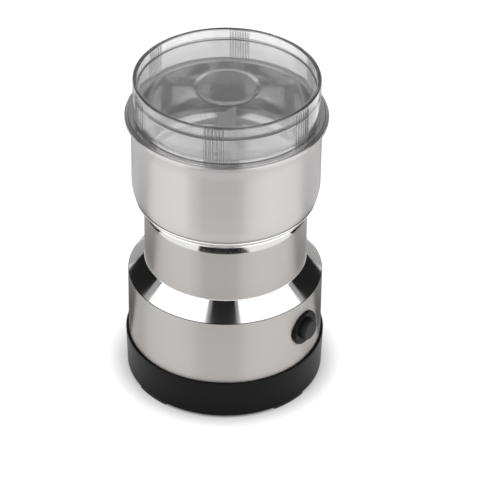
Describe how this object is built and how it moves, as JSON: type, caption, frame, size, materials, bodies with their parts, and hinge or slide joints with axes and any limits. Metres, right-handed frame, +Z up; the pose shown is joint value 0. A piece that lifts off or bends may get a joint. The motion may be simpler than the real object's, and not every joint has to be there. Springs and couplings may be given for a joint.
{
  "type": "electric coffee grinder",
  "caption": "Electric blade coffee grinder with a steel cup, clear lid, cross blade, side push button and motor on a black base.",
  "frame": {"origin": "on the grinder's axis, on the table under the feet", "axes": "+Z up along the motor shaft, -Y towards the user, cord inlet at +Y"},
  "size_m": [0.1, 0.1, 0.17],
  "materials": {
    "clear_plastic": "clear, polished",
    "polished_steel": "mirror polished",
    "brushed_steel": "brushed round the axis",
    "black_plastic": "satin moulded",
    "button_plastic": "satin moulded",
    "black_rubber": "matt",
    "grey_plastic": "matt moulded",
    "screw_steel": "zinc plated",
    "blade_steel": "ground",
    "brass": "bright",
    "bronze": "sintered",
    "copper": "turned",
    "enamelled_copper": "varnished",
    "lamination_steel": "oiled sheet stack",
    "aluminium": "as cast",
    "carbon": "pressed graphite",
    "spring_steel": "bright wire",
    "zinc_steel": "zinc plated sheet"
  },
  "bodies": {
    "housing": {"base_ring": "black_plastic", "bottom_cover": "black_plastic", "base_screws": "screw_steel", "rubber_feet": "black_rubber", "lower_housing": "brushed_steel", "waist_ring": "polished_steel", "upper_housing": "brushed_steel", "grinding_bowl": "polished_steel", "motor_carrier": "grey_plastic", "carrier_screws": "screw_steel", "shaft_seal": "black_rubber", "field_stack": "lamination_steel", "field_coils": "enamelled_copper", "upper_bracket": "aluminium", "lower_bracket": "aluminium", "upper_bearing": "bronze", "lower_bearing": "bronze", "motor_bolts": "screw_steel", "brush_holders": "brass", "carbon_brushes": "carbon", "brush_springs": "spring_steel", "button_bezel": "black_plastic", "bezel_nut": "black_plastic", "button_spring": "spring_steel", "switch_bracket": "zinc_steel", "push_switch": "black_plastic", "switch_terminals": "brass", "cord_gland": "black_rubber", "gland_nut": "black_plastic"},
    "rotor": {"motor_shaft": "screw_steel", "armature_core": "lamination_steel", "armature_windings": "enamelled_copper", "commutator": "copper", "cooling_fan": "grey_plastic", "blade_hub": "brass", "blade": "blade_steel", "blade_nut": "screw_steel"},
    "button": {"button": "button_plastic", "switch_plunger": "grey_plastic"},
    "lid": {"lid": "clear_plastic"}
  },
  "joints": [
    {"name": "lid_lift", "type": "slide", "parent": "housing", "child": "lid", "axis": [0, 0, 1], "range_m": [0, 0.06]},
    {"name": "blade_spin", "type": "hinge", "parent": "housing", "child": "rotor", "pos_m": [0, 0, 0.06], "axis": [0, 0, 1], "continuous": true},
    {"name": "button_press", "type": "slide", "parent": "housing", "child": "button", "axis": [-0.809, 0.5878, 0], "range_m": [0, 0.002], "stiffness_N_per_m": 1000, "springref_m": -0.001, "deforming": ["button_spring"]}
  ]
}
